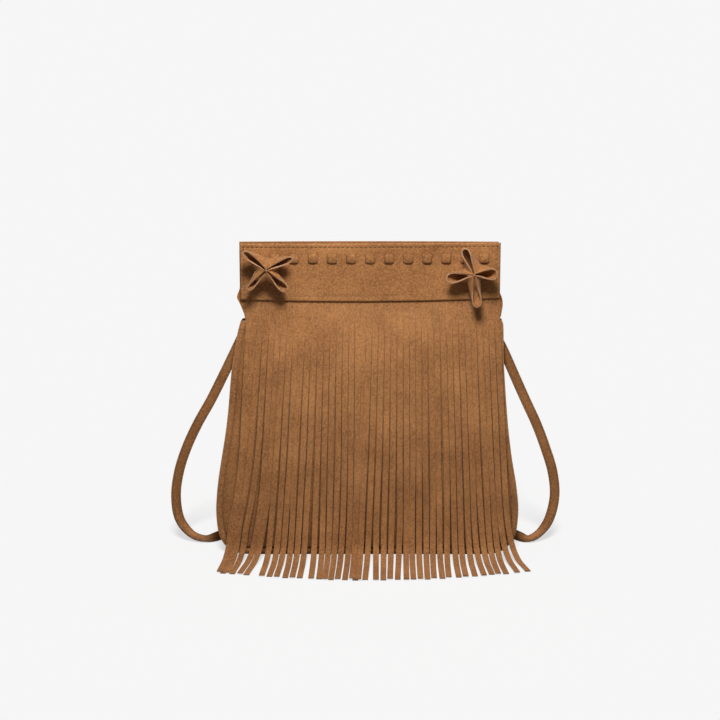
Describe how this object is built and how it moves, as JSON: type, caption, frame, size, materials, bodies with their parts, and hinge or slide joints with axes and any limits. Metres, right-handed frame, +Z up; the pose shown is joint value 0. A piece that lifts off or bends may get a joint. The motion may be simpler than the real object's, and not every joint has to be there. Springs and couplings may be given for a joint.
{
  "type": "fringed shoulder bag",
  "caption": "Suede shoulder bag on a flat base, with a laced top band, two leather flowers, a long front fringe and a thin strap laid behind it.",
  "frame": {"origin": "on the surface that the bag stands on, under the middle of its base", "axes": "+X to the right of the front as one looks at it, +Y from the fringed front to the rear, +Z up"},
  "size_m": [0.3384, 0.2524, 0.263],
  "materials": {
    "suede": "napped suede, tan",
    "seam_suede": "napped suede, a little darker and warmer",
    "lining": "plain woven brown cotton",
    "board": "grey pressed board",
    "snap": "antiqued"
  },
  "bodies": {
    "root": {"front_panel": "suede", "rear_panel": "suede", "gusset": "seam_suede", "front_lining": "lining", "rear_lining": "lining", "gusset_lining": "lining", "base_board": "board", "front_band": "suede", "rear_band": "suede", "lace": "suede", "front_fringe": "suede", "left_flower": "suede", "right_flower": "suede", "strap": "suede", "snap_socket": "snap", "snap_stud": "snap"}
  },
  "joints": []
}
